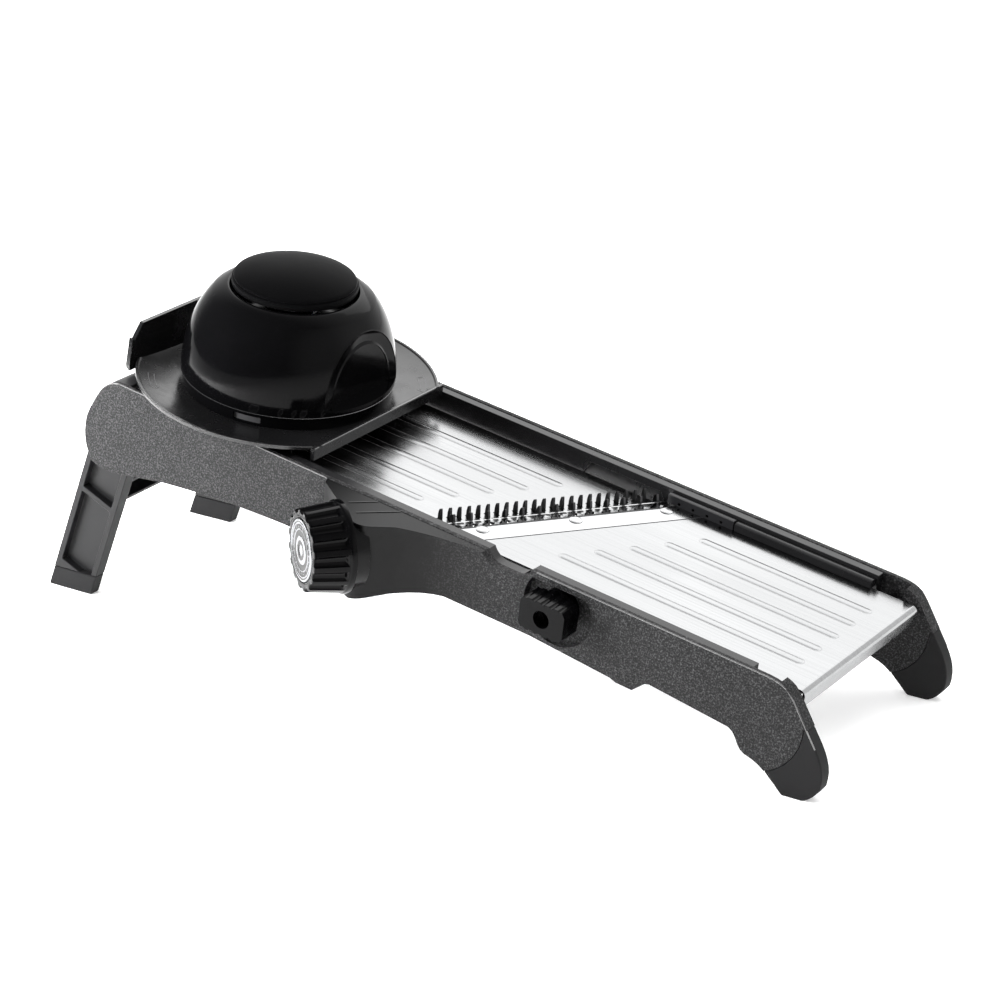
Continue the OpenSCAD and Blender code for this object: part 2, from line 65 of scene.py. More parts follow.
def lerp(a, b, t):
    return a + (b - a) * t


def smooth01(t):
    t = max(0.0, min(1.0, t))
    return t * t * (3 - 2 * t)


def bez(a, b, c, d, n):
    out = []
    for i in range(n + 1):
        t = i / n
        s = 1 - t
        out.append(tuple(s**3 * a[k] + 3 * s * s * t * b[k] + 3 * s * t * t * c[k] + t**3 * d[k] for k in range(len(a))))
    return out


# ---------------------------------------------------------------- materials
class Nodes:
    def __init__(self, name):
        self.mat = bpy.data.materials.new(name)
        self.mat.use_nodes = True
        self.nt = self.mat.node_tree
        self.bsdf = self.nt.nodes["Principled BSDF"]

    def new(self, kind, **props):
        n = self.nt.nodes.new(kind)
        for k, v in props.items():
            setattr(n, k, v)
        return n

    def link(self, a, b):
        self.nt.links.new(a, b)

    def set(self, **vals):
        for k, v in vals.items():
            self.bsdf.inputs[k.replace("_", " ")].default_value = v

    def coords(self, scale=(1, 1, 1), tilt=True):
        tc = self.new("ShaderNodeTexCoord")
        mp = self.new("ShaderNodeMapping")
        mp.inputs["Rotation"].default_value = (0, rad(-SLOPE) if tilt else 0, 0)
        mp.inputs["Scale"].default_value = (1, 1, 1)
        self.link(tc.outputs["Object"], mp.inputs["Vector"])
        sc = self.new("ShaderNodeMapping")
        sc.inputs["Scale"].default_value = scale
        self.link(mp.outputs["Vector"], sc.inputs["Vector"])
        return sc.outputs["Vector"]

    def noise(self, vec, scale, detail=2.0, rough=0.5, dist=0.0):
        n = self.new("ShaderNodeTexNoise")
        n.inputs["Scale"].default_value = scale
        n.inputs["Detail"].default_value = detail
        n.inputs["Roughness"].default_value = rough
        n.inputs["Distortion"].default_value = dist
        self.link(vec, n.inputs["Vector"])
        return n.outputs["Fac"]

    def ramp(self, fac, stops):
        r = self.new("ShaderNodeValToRGB")
        el = r.color_ramp.elements
        el[0].position, el[0].color = stops[0][0], (*stops[0][1], 1)
        el[1].position, el[1].color = stops[-1][0], (*stops[-1][1], 1)
        for p, c in stops[1:-1]:
            e = el.new(p)
            e.color = (*c, 1)
        self.link(fac, r.inputs["Fac"])
        return r.outputs["Color"]

    def remap(self, fac, a, b, c, d):
        m = self.new("ShaderNodeMapRange")
        m.inputs["From Min"].default_value = a
        m.inputs["From Max"].default_value = b
        m.inputs["To Min"].default_value = c
        m.inputs["To Max"].default_value = d
        self.link(fac, m.inputs["Value"])
        return m.outputs["Result"]

    def math(self, op, a, b):
        m = self.new("ShaderNodeMath", operation=op)
        for i, v in enumerate((a, b)):
            if hasattr(v, "links"):
                self.link(v, m.inputs[i])
            else:
                m.inputs[i].default_value = v
        return m.outputs[0]

    def bump(self, height, strength, dist, prev=None):
        b = self.new("ShaderNodeBump")
        b.inputs["Strength"].default_value = strength
        b.inputs["Distance"].default_value = dist
        self.link(height, b.inputs["Height"])
        if prev is not None:
            self.link(prev, b.inputs["Normal"])
        return b.outputs["Normal"]

    def normal(self, n):
        self.link(n, self.bsdf.inputs["Normal"])

    def color(self, c):
        self.link(c, self.bsdf.inputs["Base Color"])

    def rough(self, r):
        self.link(r, self.bsdf.inputs["Roughness"])


def pale_edge_highlight(m, base, light, amount):
    """Pale edges, found from the shape itself: a painted highlight along the convex edges."""
    g = m.new("ShaderNodeNewGeometry")
    edge = m.remap(g.outputs["Pointiness"], 0.52, 0.62, 0.0, amount)
    mix = m.new("ShaderNodeMix", data_type="RGBA")
    m.link(edge, mix.inputs["Factor"])
    m.link(base, mix.inputs["A"])
    mix.inputs["B"].default_value = (*light, 1)
    return mix.outputs["Result"]


def mat_textured():
    m = Nodes("spark_textured_plastic")
    v = m.coords()
    fine = m.noise(v, 1350, 2.2, 0.62)
    mid = m.noise(v, 900, 2.0, 0.6)
    big = m.noise(v, 26, 3.0, 0.5)
    c = m.ramp(fine, [(0.34, (0.0068, 0.0068, 0.0071)), (0.50, (0.0128, 0.0128, 0.0132)), (0.72, (0.064, 0.064, 0.0655))])
    shade = m.remap(big, 0.3, 0.7, 0.90, 1.08)
    mul = m.new("ShaderNodeMix", data_type="RGBA", blend_type="MULTIPLY")
    mul.inputs["Factor"].default_value = 1.0
    m.link(c, mul.inputs["A"])
    m.link(shade, mul.inputs["B"])
    m.color(mul.outputs["Result"])
    m.rough(m.remap(mid, 0.3, 0.7, 0.44, 0.62))
    n = m.bump(mid, 0.6, 0.00022)
    n = m.bump(fine, 0.5, 0.00012, n)
    m.normal(n)
    m.set(Specular_IOR_Level=0.13)
    return m.mat


def mat_shroud():
    """Smooth semi-gloss plastic that turns into the spark texture towards the thumb notch."""
    m = Nodes("shroud_plastic")
    v = m.coords((1, 1, 1))
    sep = m.new("ShaderNodeSeparateXYZ")
    m.link(v, sep.inputs[0])
    grit = m.noise(v, 1350, 2.2, 0.62)
    soft = m.noise(v, 90, 3.0, 0.6)
    # along the deck, metres
    at = m.math("ADD", sep.outputs["X"], m.math("MULTIPLY", soft, 0.012))
    fade = m.remap(at, 0.016, 0.052, 0.0, 1.0)
    smoothc = m.ramp(soft, [(0.3, (0.0016, 0.0016, 0.0018)), (0.7, (0.0026, 0.0026, 0.0028))])
    gritc = m.ramp(grit, [(0.34, (0.0068, 0.0068, 0.0071)), (0.50, (0.0128, 0.0128, 0.0132)), (0.72, (0.064, 0.064, 0.0655))])
    mix = m.new("ShaderNodeMix", data_type="RGBA")
    m.link(fade, mix.inputs["Factor"])
    m.link(smoothc, mix.inputs["A"])
    m.link(gritc, mix.inputs["B"])
    m.color(mix.outputs["Result"])
    m.rough(m.remap(fade, 0.0, 1.0, 0.30, 0.54))
    m.normal(m.bump(m.math("MULTIPLY", grit, fade), 0.5, 0.00014))
    m.set(Specular_IOR_Level=0.14)
    return m.mat


def mat_plastic(name, col, rough, var=0.15, grain=0.10, spec=0.5, coat=0.0):
    m = Nodes(name)
    v = m.coords()
    big = m.noise(v, 38, 3.0, 0.55)
    fine = m.noise(v, 900, 2.0, 0.5)
    lo = tuple(x * (1 - var) for x in col)
    hi = tuple(min(1, x * (1 + var)) for x in col)
    m.color(m.ramp(big, [(0.3, lo), (0.7, hi)]))
    m.rough(m.remap(big, 0.3, 0.7, rough * 0.88, min(1, rough * 1.12)))
    m.normal(m.bump(fine, grain, 0.00008))
    m.set(Specular_IOR_Level=spec, Coat_Weight=coat, Coat_Roughness=0.05)
    return m.mat


def mat_gloss(name, col, rough, spec=0.27):
    m = Nodes(name)
    v = m.coords()
    big = m.noise(v, 14, 2.0, 0.5)
    smear = m.noise(v, 70, 4.0, 0.6, 0.6)
    m.color(m.ramp(big, [(0.3, tuple(x * 0.85 for x in col)), (0.7, tuple(x * 1.2 for x in col))]))
    m.rough(m.remap(smear, 0.35, 0.75, rough, rough * 1.9 + 0.02))
    m.normal(m.bump(big, 0.02, 0.0004))
    m.set(Specular_IOR_Level=spec)
    return m.mat


def mat_steel(name, col, rough, along=True, aniso=0.5, streak=1.0):
    m = Nodes(name)
    v = m.coords((7, 900, 900) if along else (900, 900, 7))
    v2 = m.coords((2.2, 160, 160) if along else (160, 160, 2.2))
    s1 = m.noise(v, 1.0, 3.0, 0.6)
    s2 = m.noise(v2, 1.0, 2.0, 0.5)
    mixn = m.math("ADD", m.math("MULTIPLY", s1, 0.65), m.math("MULTIPLY", s2, 0.35))
    lo = tuple(x * (1 - 0.10 * streak) for x in col)
    hi = tuple(min(1, x * (1 + 0.06 * streak)) for x in col)
    m.color(m.ramp(mixn, [(0.35, lo), (0.65, hi)]))
    m.rough(m.remap(mixn, 0.35, 0.65, rough * 0.85, rough * 1.25))
    m.normal(m.bump(mixn, 0.12 * streak, 0.00004))
    m.set(Metallic=1.0, Anisotropic=aniso)
    return m.mat


def mat_rubber():
    m = Nodes("soft_rubber")
    v = m.coords()
    fine = m.noise(v, 1300, 2.0, 0.6)
    big = m.noise(v, 30, 3.0, 0.6)
    m.color(m.ramp(big, [(0.3, (0.0058, 0.0058, 0.0062)), (0.7, (0.0088, 0.0088, 0.0092))]))
    m.rough(m.remap(big, 0.3, 0.7, 0.62, 0.75))
    m.normal(m.bump(fine, 0.25, 0.0001))
    m.set(Specular_IOR_Level=0.2)
    return m.mat


M = {
    "tex": mat_textured(),
    "track": mat_plastic("satin_rail_plastic", (0.009, 0.009, 0.0095), 0.26, 0.12, 0.12, 0.32),
    "frame": mat_plastic("moulded_black_plastic", (0.012, 0.012, 0.013), 0.38, 0.15, 0.10, 0.35),
    "shroud": mat_shroud(),
    "leg": mat_plastic("satin_leg_plastic", (0.0072, 0.0072, 0.0076), 0.42, 0.12, 0.12, 0.19),
    "rubber": mat_rubber(),
    "gloss": mat_gloss("high_gloss_black_plastic", (0.0014, 0.0014, 0.0016), 0.075, 0.08),
    "brim": mat_gloss("satin_brim_plastic", (0.005, 0.005, 0.0053), 0.17, 0.55),
    "dial": mat_gloss("gloss_dial_plastic", (0.0012, 0.0012, 0.0014), 0.10, 0.09),
    "cap": mat_plastic("soft_touch_cap", (0.0020, 0.0020, 0.0022), 0.40, 0.10, 0.05, 0.015),
    "steel": mat_steel("brushed_runway_steel", (0.33, 0.333, 0.336), 0.21, True, 0.55),
    "blade": mat_steel("ground_blade_steel", (0.42, 0.423, 0.427), 0.20, True, 0.3, 0.7),
    # much darker steel for the teeth than for the runways: a painted dark reflection
    "teeth": mat_steel("tooth_steel_painted_dark", (0.07, 0.07, 0.072), 0.36, False, 0.2, 0.8),
    "shaft": mat_steel("turned_shaft_steel", (0.56, 0.56, 0.58), 0.28, False, 0.3),
    "badge": mat_steel("satin_badge_metal", (0.30, 0.305, 0.315), 0.25, False, 0.2, 0.6),
    # dark paint in the badge grooves and the seams; the same dark is also laid on the ramp tongues as painted shade
    "ink_and_painted_shade": mat_plastic("dark_paint_and_painted_shade", (0.012, 0.012, 0.012), 0.45, 0.10, 0.05),
    # grey lines round the runway ribs: a painted shadow
    "line": mat_plastic("rib_shadow_line", (0.22, 0.22, 0.223), 0.5, 0.12, 0.05, 0.2),
    "joint": mat_plastic("dark_joint_line", (0.018, 0.018, 0.019), 0.5, 0.12, 0.05, 0.2),
    # lighter plastic for the panel edge strips: a painted highlight
    "worn": mat_plastic("worn_edge_plastic", (0.17, 0.17, 0.17), 0.30, 0.15, 0.08, 0.5, 0.3),
    "edge": mat_plastic("polished_edge_plastic", (0.012, 0.012, 0.0125), 0.12, 0.12, 0.03, 1.0, 1.0),
    "mark": mat_plastic("raised_mark_plastic", (0.060, 0.060, 0.062), 0.30, 0.10, 0.05),
    "pane": mat_plastic("window_tab_plastic", (0.050, 0.050, 0.052), 0.30, 0.12, 0.05),
}

NODE_MATS = {
    "near_side_panel": "tex", "far_side_panel": "tex",
    "near_rail_track": "track", "far_rail_track": "track", "far_rail_ledge": "track", "far_rail_insert": "frame",
    "dial_shroud": "shroud", "near_front_foot": "rubber", "far_front_foot": "rubber", "leg_foot_pads": "rubber",
    "front_crossbar": "frame", "rear_crossbar": "frame", "blade_carrier": "frame", "ramp_carrier": "frame", "comb_carrier": "frame",
    "lower_runway": "steel", "upper_runway": "steel", "blade": "blade", "blade_rivets": "blade",
    "fine_teeth_comb": "teeth", "coarse_teeth_comb": "teeth", "prongs": "blade",
    "leg_pins": "shaft", "dial_shaft": "shaft", "julienne_shaft": "shaft", "press_spring": "shaft",
    "dial_knob": "dial", "julienne_knob": "dial", "dial_badge": "badge",
    "rear_leg": "leg", "holder_base": "brim", "holder_collar": "gloss", "holder_glides": "gloss", "holder_dome": "gloss",
    "press_cap": "cap", "press_stem": "cap", "prong_plate": "cap",
}
BODY = {n: b for b, ns in frame["record"]["behaviour"]["bodies"].items() for n in ns}

for name, key in NODE_MATS.items():
    ob = frame["nodes"][name]
    ob.data.materials.clear()
    ob.data.materials.append(M[key])


# ---------------------------------------------------------------- mesh tools
def finish_mesh(me, angle=38):
    bm = bmesh.new()
    bm.from_mesh(me)
    for f in bm.faces:
        f.smooth = True
    for ed in bm.edges:
        if len(ed.link_faces) == 2:
            ed.smooth = ed.calc_face_angle(0) < rad(angle)
    bm.to_mesh(me)
    bm.free()


def make(name, verts, faces, body, key, space=DECK, angle=38, fix=True):
    me = bpy.data.meshes.new(name)
    me.from_pydata([tuple(space @ Vector(v)) for v in verts], [], faces)
    me.validate()
    if fix:
        bm = bmesh.new()
        bm.from_mesh(me)
        bmesh.ops.remove_doubles(bm, verts=bm.verts, dist=1e-6)
        bmesh.ops.recalc_face_normals(bm, faces=bm.faces)
        bm.to_mesh(me)
        bm.free()
    finish_mesh(me, angle)
    ob = bpy.data.objects.new(name, me)
    scene.collection.objects.link(ob)
    me.materials.append(M[key])
    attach(ob, body)
    return ob


def lathe(name, prof, body, key, space, seg=192, warp=None, closed=True, angle=38):
    verts, faces = [], []
    n = len(prof)
    for i in range(seg):
        a = 2 * math.pi * i / seg
        for j, (r, z) in enumerate(prof):
            if warp:
                r, z = warp(a, r, z, j)
            verts.append((r * math.cos(a), r * math.sin(a), z))
    for i in range(seg):
        k = (i + 1) % seg
        for j in range(n if closed else n - 1):
            l = (j + 1) % n
            faces.append((i * n + j, k * n + j, k * n + l, i * n + l))
    return make(name, verts, faces, body, key, space, angle)


def cleaned(node, width=0.5, seg=2, limit=32, key=None, angle=34, ease=None):
    """The node's own shape with merged faces and softened edges."""
    src = frame["nodes"][node]
    me = src.data.copy()
    me.name = node + "_soft"
    bm = bmesh.new()
    bm.from_mesh(me)
    bmesh.ops.remove_doubles(bm, verts=bm.verts, dist=2e-6)
    bmesh.ops.dissolve_degenerate(bm, dist=1e-6, edges=bm.edges)
    bmesh.ops.dissolve_limit(bm, angle_limit=rad(0.6), verts=bm.verts, edges=bm.edges)
    if ease is not None:
        # pressed ridges with soft, shallow flanks
        back = DECK.inverted()
        for vt in bm.verts:
            d = back @ vt.co
            if ease + 0.02 < d.z < ease + 1.2:
                d.z = ease + (d.z - ease) * 0.34
                vt.co = DECK @ d
    bm.to_mesh(me)
    bm.free()
    if me.has_custom_normals:
        me.attributes.remove(me.attributes["custom_normal"]) if "custom_normal" in me.attributes else None
    finish_mesh(me, angle)
    ob = bpy.data.objects.new(node + "_soft", me)
    scene.collection.objects.link(ob)
    me.materials.clear()
    me.materials.append(M[key or NODE_MATS[node]])
    if width:
        bv = ob.modifiers.new("edges", "BEVEL")
        bv.width = width / 1000
        bv.segments = seg
        bv.limit_method = "ANGLE"
        bv.angle_limit = rad(limit)
        bv.use_clamp_overlap = True
        bv.harden_normals = True
        bv.miter_outer = "MITER_ARC"
    if ease is not None:
        wn = ob.modifiers.new("even_normals", "WEIGHTED_NORMAL")
        wn.weight = 100
        wn.keep_sharp = True
    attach(ob, BODY[node])
    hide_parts(node)
    return ob


for n_, w_ in (("near_side_panel", 0.55), ("far_side_panel", 0.55), ("near_rail_track", 0.35), ("far_rail_track", 0.35),
               ("dial_shroud", 0.8), ("near_front_foot", 0.8), ("far_front_foot", 0.8), ("leg_foot_pads", 0.8),
               ("rear_leg", 0.6), ("rear_crossbar", 0.9), ("front_crossbar", 0.5), ("julienne_knob", 0.5),
               ("holder_base", 0.35), ("far_rail_ledge", 0.3), ("far_rail_insert", 0.3)):
    cleaned(n_, w_)
cleaned("holder_collar", 0)
cleaned("lower_runway", 0, ease=RTOP)
cleaned("upper_runway", 0, ease=UTOP)


# ---------------------------------------------------------------- dome of the food holder
BRIM_A = (-132, 44)
DOME_OUT = [(48.6, 10.7), (48.6, 12.5)] + bez((48.3, 16), (47.1, 27), (43.2, 38.4), (36.3, 46), 40) + [
    (35.2, 46.85), (34.1, 47.6), (33.0, 48.28), (31.8, 48.9), (31.0, 49.25), (30.2, 49.5), (29.8, 49.58), (29.4, 49.6), (29.05, 49.45), (28.9, 49.2)]
DOME_IN = [(28.9, 39), (30.9, 39), (30.9, 45.4)] + bez((33.1, 44.5), (40.3, 38.3), (44.5, 27), (46.0, 15), 30) + [(46.3, 13), (46.3, 10.7)]
TILT = -0.04541


def flat_x(n, back=0.0):
    return 41.5 - back + TILT * (n - 10)


def radius_at(prof, n):
    pts = sorted((z, r) for r, z in prof)
    for (z0, r0), (z1, r1) in zip(pts, pts[1:]):
        if z0 <= n <= z1 and z1 > z0:
            return lerp(r0, r1, (n - z0) / (z1 - z0))
    return pts[-1][1]


def recess_top(prof, back):
    lo_, hi_ = 12.0, 45.0
    for _ in range(40):
        mid = (lo_ + hi_) / 2
        if radius_at(prof, mid) > flat_x(mid, back):
            lo_ = mid
        else:
            hi_ = mid
    return lo_


def recess_grid(prof, back, dip, floor_n, rows=40, cols=36):
    """A leaning arch-shaped wall, hollowed a little."""
    top = recess_top(prof, back)
    verts, faces = [], []
    for i in range(rows + 1):
        t = i / rows
        n = floor_n + (top - floor_n) * (1 - (1 - t) ** 2)
        x = flat_x(n, back)
        w = math.sqrt(max(0.0, radius_at(prof, n) ** 2 - x * x))
        for j in range(cols + 1):
            q = -1 + 2 * j / cols
            d = dip * (1 - q * q) * (1 - t ** 3)
            verts.append((x - d, q * w, n))
    for i in range(rows):
        for j in range(cols):
            a = i * (cols + 1) + j
            faces.append((a, a + 1, a + cols + 2, a + cols + 1))
    return verts, faces


def build_dome():
    outer = [p for p in DOME_OUT]
    prof = outer + DOME_IN
    seg = 256
    bm = bmesh.new()
    rings = [[bm.verts.new((r * math.cos(2 * math.pi * i / seg), r * math.sin(2 * math.pi * i / seg), z)) for r, z in prof] for i in range(seg)]
    for i in range(seg):
        a, b = rings[i], rings[(i + 1) % seg]
        for j in range(len(prof)):
            k = (j + 1) % len(prof)
            bm.faces.new((a[j], b[j], b[k], a[k]))
    for side in (1, -1):
        nrm = Vector((side, 0, -TILT)).normalized()
        bmesh.ops.bisect_plane(bm, geom=bm.verts[:] + bm.edges[:] + bm.faces[:], dist=1e-5,
                               plane_co=(side * flat_x(10), 0, 10), plane_no=nrm, clear_outer=True)
    bm.verts.ensure_lookup_table()
    bm.faces.ensure_lookup_table()
    verts = [tuple(v.co) for v in bm.verts]
    idx = {v: i for i, v in enumerate(bm.verts)}
    faces = [tuple(idx[v] for v in f.verts) for f in bm.faces]
    bm.free()
    # the ring under the recesses, its lower edge rounded
    low_prof = [(46.3, 7.5), (47.9, 7.5), (48.3, 7.62), (48.53, 7.9), (48.6, 8.3), (48.6, 10.7), (46.3, 10.7)]
    base = len(verts)
    for i in range(seg):
        a = 2 * math.pi * i / seg
        verts += [(r * math.cos(a), r * math.sin(a), z) for r, z in low_prof]
    m = len(low_prof)
    for i in range(seg):
        k = (i + 1) % seg
        for j in range(m):
            q = (j + 1) % m
            faces.append((base + i * m + j, base + k * m + j, base + k * m + q, base + i * m + q))
    for side in (1, -1):
        for prof_, back, dip in ((outer, 0.0, 0.9), ([p for p in DOME_IN[2:]], 2.2, 0.0)):
            vs, fs = recess_grid(prof_, back, dip, 10.7)
            base = len(verts)
            verts += [(x * side, y * side, z) for x, y, z in vs]
            faces += [tuple(base + q for q in f) for f in fs]
        # recess floor
        base = len(verts)
        x0 = flat_x(10.7)
        w = math.sqrt(46.3 ** 2 - x0 ** 2)
        nfl = 36
        for lev in (10.7, 9.35):
            for j in range(nfl + 1):
                q = -1 + 2 * j / nfl
                y = q * w
                verts.append((side * (x0 - (1.0 if lev > 10 else 2.2)), side * y, lev))
                verts.append((side * math.sqrt(46.32 ** 2 - y * y), side * y, lev))
        for lev in (0, 1):
            b0 = base + lev * 2 * (nfl + 1)
            for j in range(nfl):
                faces.append((b0 + 2 * j, b0 + 2 * j + 1, b0 + 2 * j + 3, b0 + 2 * j + 2))
    ob = make("dome_shell", verts, faces, "dome", "gloss", HOLD, 30)
    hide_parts("holder_dome")
    # rounded rim round each recess
    for k, side in enumerate((1, -1)):
        top = recess_top(outer, 0.0)
        path = []
        for i in range(49):
            n = 10.75 + (top - 10.75) * math.sin(math.pi / 2 * i / 48)
            path.append((n, 1))
        path += [(n, -1) for n, _ in reversed(path[:-1])]
        pts = []
        for n, sgn in path:
            x = flat_x(n)
            w = math.sqrt(max(0.0, radius_at(outer, n) ** 2 - x * x))
            pts.append(Vector((side * (x - 0.16), side * sgn * (w - 0.12) if w > 0.12 else 0.0, n)))
        tube("dome_recess_rim_%d" % (k + 1), pts, 0.34, "dome", "gloss", HOLD)
    # floor of the press well and the stem guide
    lathe("dome_well_floor", [(5.08, 29.5), (7.6, 29.5), (7.6, 37), (30.9, 37), (30.9, 39), (5.08, 39)], "dome", "gloss", HOLD, 96)
    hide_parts("holder_dome")


def tube(name, pts, r, body, key, space, sides=10, closed=False):
    verts, faces = [], []
    n = len(pts)
    for i, p in enumerate(pts):
        a = pts[(i - 1) % n] if closed or i > 0 else p
        b = pts[(i + 1) % n] if closed or i < n - 1 else p
        t = (b - a).normalized()
        ref = Vector((0, 0, 1)) if abs(t.z) < 0.9 else Vector((1, 0, 0))
        u = t.cross(ref).normalized()
        w = t.cross(u)
        for j in range(sides):
            q = 2 * math.pi * j / sides
            verts.append(tuple(p + (u * math.cos(q) + w * math.sin(q)) * r))
    # keep the ring starts aligned
    for i in range(n if closed else n - 1):
        k = (i + 1) % n
        best, off = None, 0
        for o in range(sides):
            d = (Vector(verts[i * sides]) - Vector(verts[k * sides + o])).length
            if best is None or d < best:
                best, off = d, o
        # rotate the next ring's order once, so that quads do not twist
        ring = [verts[k * sides + (j + off) % sides] for j in range(sides)]
        if k:
            verts[k * sides:(k + 1) * sides] = ring
        for j in range(sides):
            q = (j + 1) % sides
            faces.append((i * sides + j, i * sides + q, k * sides + q, k * sides + j))
    if not closed:
        faces.append(tuple(reversed(range(sides))))
        faces.append(tuple((n - 1) * sides + j for j in range(sides)))
    return make(name, verts, faces, body, key, space, 60)


build_dome()

# polished edges of the holder
def arc_pts(r, n, a0, a1, m):
    return [Vector((r * math.cos(lerp(a0, a1, i / m)), r * math.sin(lerp(a0, a1, i / m)), n)) for i in range(m + 1)]


tube("dome_foot_bead", arc_pts(48.42, 8.1, 0, 2 * math.pi * 191 / 192, 191), 0.30, "dome", "edge", HOLD, closed=True)
tube("brim_edge_near", arc_pts(68.45, 4.78, rad(-140), rad(-41.5), 96), 0.28, "carriage", "edge", HOLD)
tube("brim_edge_far", arc_pts(68.45, 4.78, rad(41.5), rad(140), 96), 0.28, "carriage", "edge", HOLD)
tube("brim_front_edge", [Vector((53.05, -46.2 + 92.4 * i / 24, 4.62)) for i in range(25)], 0.30, "carriage", "edge", HOLD)

# lighter strips along the upper edges of the side panels: a painted highlight standing in for the light these edges
# catch
def flat_bez(a, b, c, d, m):
    return [(p[0], p[1]) for p in bez(a, b, c, d, m)]


REAR_EDGE = flat_bez((-374.75, -17), (-370.75, -9.1), (-367.8, -1.2), (-358, -0.25), 14) + [(-358 + 119.0 * i / 24, -0.25) for i in range(1, 25)]
FRONT_EDGE = [(-128 + 109.0 * i / 24, -0.25) for i in range(25)] + flat_bez((-19, -0.25), (-13.1, -0.25), (-10.1, -0.65), (-6.7, -2.85), 8)[1:] \
    + [(-3.8 + 12.8 * i / 8, -5.75 - 16.9 * i / 8) for i in range(9)]
for side_, sign_ in (("near", -1), ("far", 1)):
    for end_, line_ in (("rear", REAR_EDGE), ("front", FRONT_EDGE)):
        tube(side_ + "_panel_" + end_ + "_edge", [Vector((x_, sign_ * 55.0, n_)) for x_, n_ in line_], 0.3, "frame", "worn", DECK, sides=8)

# pane behind the small window of the collar
vs_, fs_ = [], []
for i in range(17):
    a = rad(-73) + (-1 + 2 * i / 16) * rad(9.2)
    for r_ in (46.0, 46.7):
        for z_ in (2.6, 6.6):
            vs_.append((r_ * math.cos(a), r_ * math.sin(a), z_))
for i in range(16):
    b_ = i * 4
    for q in ((2, 3, 7, 6), (1, 0, 4, 5), (3, 1, 5, 7), (0, 2, 6, 4)):
        fs_.append(tuple(b_ + k for k in q))
fs_ += [(0, 1, 3, 2), (64, 66, 67, 65)]
make("collar_window_pane", vs_, fs_, "carriage", "pane", HOLD)

# press cap
CAP = [(0, 52.4), (24.4, 52.4), (24.4, 49.9), (26.0, 49.9), (28.1, 50.25), (28.34, 50.38), (28.4, 50.6), (28.4, 52.75), (28.32, 53.0), (28.1, 53.16), (27.75, 53.24),
       (27.5, 53.36), (27.46, 53.55), (27.55, 53.75), (27.62, 53.95), (27.55, 54.2), (27.2, 54.6), (26.6, 55.0), (25.6, 55.45)] + bez((24.4, 56.0), (17.6, 58.9), (9, 60.5), (0, 60.6), 24)
ob_ = lathe("cap_shell", CAP, "pusher", "cap", HOLD, 192, angle=50)
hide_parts("press_cap")

# the spring under the cap, a coil with a mesh of its own
COIL = [Vector((11 * math.cos(2 * math.pi * i / 24), 11 * math.sin(2 * math.pi * i / 24), 39.8 + 2.8 * i / 24)) for i in range(103)]
ob_ = tube("cap_spring", COIL, 0.6, "dome", "shaft", HOLD, sides=8)
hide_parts("press_spring")
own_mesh(ob_)


# ---------------------------------------------------------------- dial
def dial_warp(a, r, z, j):
    if z < 3.05 or r < 14.6:
        return r, z
    x = abs(((a * 16 / (2 * math.pi)) % 1) - 0.5) * 2
    if x >= 0.66:
        return r, z
    g = math.sqrt(1 - (x / 0.66) ** 2)
    fade = smooth01((z - 3.3) / 1.7)
    return r - 1.75 * g * fade * (1.0 if z < 18.2 else 0.8), z


DIALP = [(4.0, 0.4), (19.9, 0.4), (20.15, 0.55), (20.2, 0.8), (20.2, 2.3), (20.1, 2.6), (19.75, 2.95), (19.55, 3.1)]
DIALP += [(19.55 - 1.65 * (z_ - 3.1) / 14.7, z_) for z_ in (3.5, 3.9, 4.3, 4.8, 5.4, 6.5, 8.5, 11, 13.5, 16, 17.5)]
DIALP += [(17.85, 17.9), (17.75, 18.2), (17.5, 18.42), (17.1, 18.55), (16.6, 18.6), (14.5, 18.6), (14.1, 18.52), (13.85, 18.3), (13.75, 18.0), (13.75, 17.15), (4.0, 17.15)]
ob_ = lathe("dial_body", DIALP, "dial", "dial", DIAL, 16 * 24, dial_warp, angle=32)
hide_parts("dial_knob")

BADGE = [(0, 17.2), (13.5, 17.2), (13.5, 18.6), (13.4, 18.78), (13.2, 18.86), (12.6, 18.86), (12.5, 18.6), (12.0, 18.6), (11.9, 18.82), (11.4, 18.82), (11.3, 18.6), (9.3, 18.6),
         (9.2, 18.8), (8.8, 18.8), (8.7, 18.6), (6.2, 18.6), (6.0, 18.8), (5.2, 18.88), (3.4, 18.88), (3.2, 18.7), (0, 18.7)]
ob_ = lathe("dial_badge_plate", BADGE, "dial", "badge", DIAL, 160, angle=30)
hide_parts("dial_badge")
for k, (r0_, r1_, t_) in enumerate(((12.05, 12.45, 18.58), (9.35, 11.25, 18.58), (6.25, 8.65, 18.58), (2.7, 4.3, 18.84))):
    vs_, fs_ = [], []
    for i in range(128):
        a = 2 * math.pi * i / 128
        for r_, z_ in ((r0_, t_), (r1_, t_), (r1_, t_ + 0.06), (r0_, t_ + 0.06)):
            vs_.append((r_ * math.cos(a), r_ * math.sin(a), z_))
    for i in range(128):
        n_ = (i + 1) % 128
        for j in range(4):
            q = (j + 1) % 4
            fs_.append((i * 4 + j, n_ * 4 + j, n_ * 4 + q, i * 4 + q))
    make("dial_ring_inlay_%d" % (k + 1), vs_, fs_, "dial", "ink_and_painted_shade", DIAL)


def block(name, boxes, body, key, space):
    """Small blocks, each given by its corner frame (origin, three edge vectors)."""
    vs, fs = [], []
    for o, ex, ey, ez in boxes:
        b = len(vs)
        for c in range(8):
            vs.append(tuple(Vector(o) + (Vector(ex) if c & 1 else Vector()) + (Vector(ey) if c & 2 else Vector()) + (Vector(ez) if c & 4 else Vector())))
        fs += [tuple(b + i for i in q) for q in ((0, 2, 3, 1), (4, 5, 7, 6), (0, 1, 5, 4), (2, 6, 7, 3), (0, 4, 6, 2), (1, 3, 7, 5))]
    return make(name, vs, fs, body, key, space)


